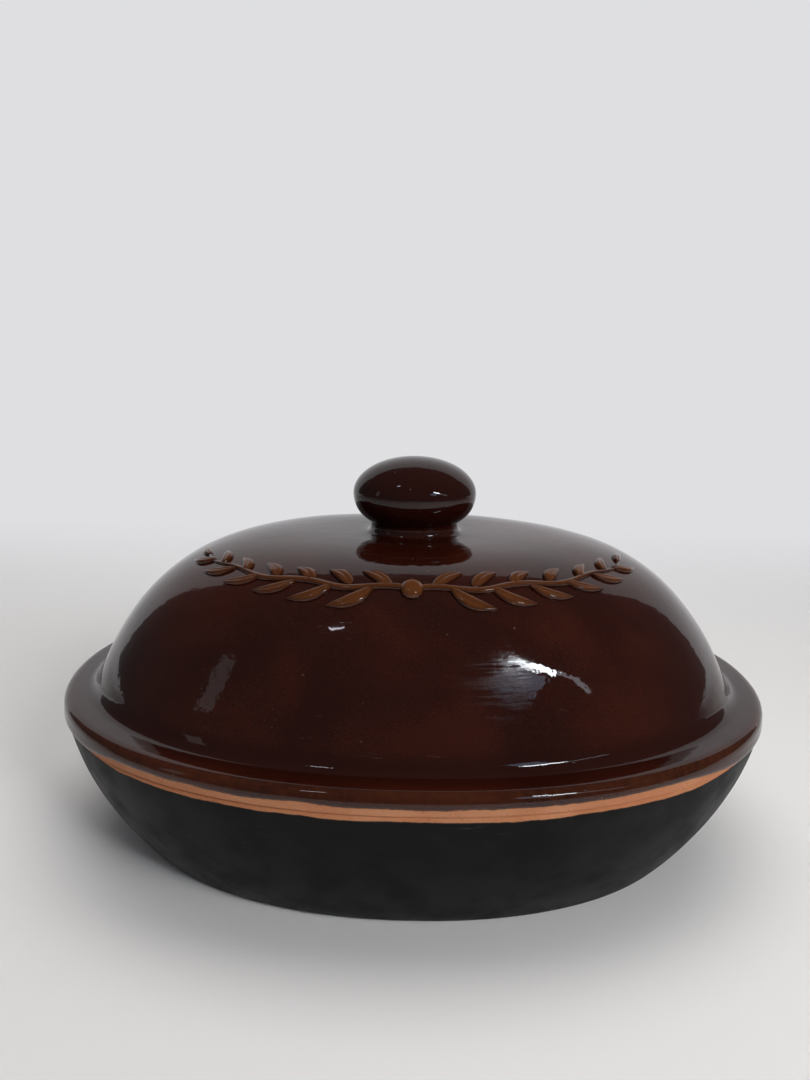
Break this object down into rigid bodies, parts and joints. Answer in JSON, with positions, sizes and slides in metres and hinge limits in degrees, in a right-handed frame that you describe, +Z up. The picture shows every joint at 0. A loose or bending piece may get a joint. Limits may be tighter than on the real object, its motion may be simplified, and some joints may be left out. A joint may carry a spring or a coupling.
{
  "type": "sweet potato baker",
  "caption": "Oval covered stoneware baker: a matte black footed bowl with a bed of loose baking stones, under a brown-glazed domed lid that lifts off by its knob, for roasting sweet potatoes.",
  "frame": {"origin": "on the table, under the middle of the bowl", "axes": "+X along the length, +Y from front to back, +Z up"},
  "size_m": [0.31, 0.208, 0.1708],
  "materials": {
    "lid_glaze": "deep brown gloss glaze that breaks to amber on edges",
    "bowl_black": "matte black, with bare orange-brown clay at the rim",
    "baking_stone": "smooth river pebble"
  },
  "bodies": {
    "bowl": {"bowl": "bowl_black", "baking_stone_01": "baking_stone", "baking_stone_02": "baking_stone", "baking_stone_03": "baking_stone", "baking_stone_04": "baking_stone", "baking_stone_05": "baking_stone", "baking_stone_06": "baking_stone", "baking_stone_07": "baking_stone", "baking_stone_08": "baking_stone", "baking_stone_09": "baking_stone", "baking_stone_10": "baking_stone", "baking_stone_11": "baking_stone", "baking_stone_12": "baking_stone", "baking_stone_13": "baking_stone", "baking_stone_14": "baking_stone", "baking_stone_15": "baking_stone", "baking_stone_16": "baking_stone", "baking_stone_17": "baking_stone", "baking_stone_18": "baking_stone", "baking_stone_19": "baking_stone", "baking_stone_20": "baking_stone", "baking_stone_21": "baking_stone", "baking_stone_22": "baking_stone", "baking_stone_23": "baking_stone", "baking_stone_24": "baking_stone", "baking_stone_25": "baking_stone", "baking_stone_26": "baking_stone", "baking_stone_27": "baking_stone", "baking_stone_28": "baking_stone", "baking_stone_29": "baking_stone", "baking_stone_30": "baking_stone", "baking_stone_31": "baking_stone", "baking_stone_32": "baking_stone", "baking_stone_33": "baking_stone", "baking_stone_34": "baking_stone", "baking_stone_35": "baking_stone", "baking_stone_36": "baking_stone"},
    "lid": {"lid": "lid_glaze"}
  },
  "joints": [
    {"name": "lid_lift", "type": "slide", "parent": "bowl", "child": "lid", "axis": [0, 0, 1], "range_m": [0, 0.15]}
  ]
}
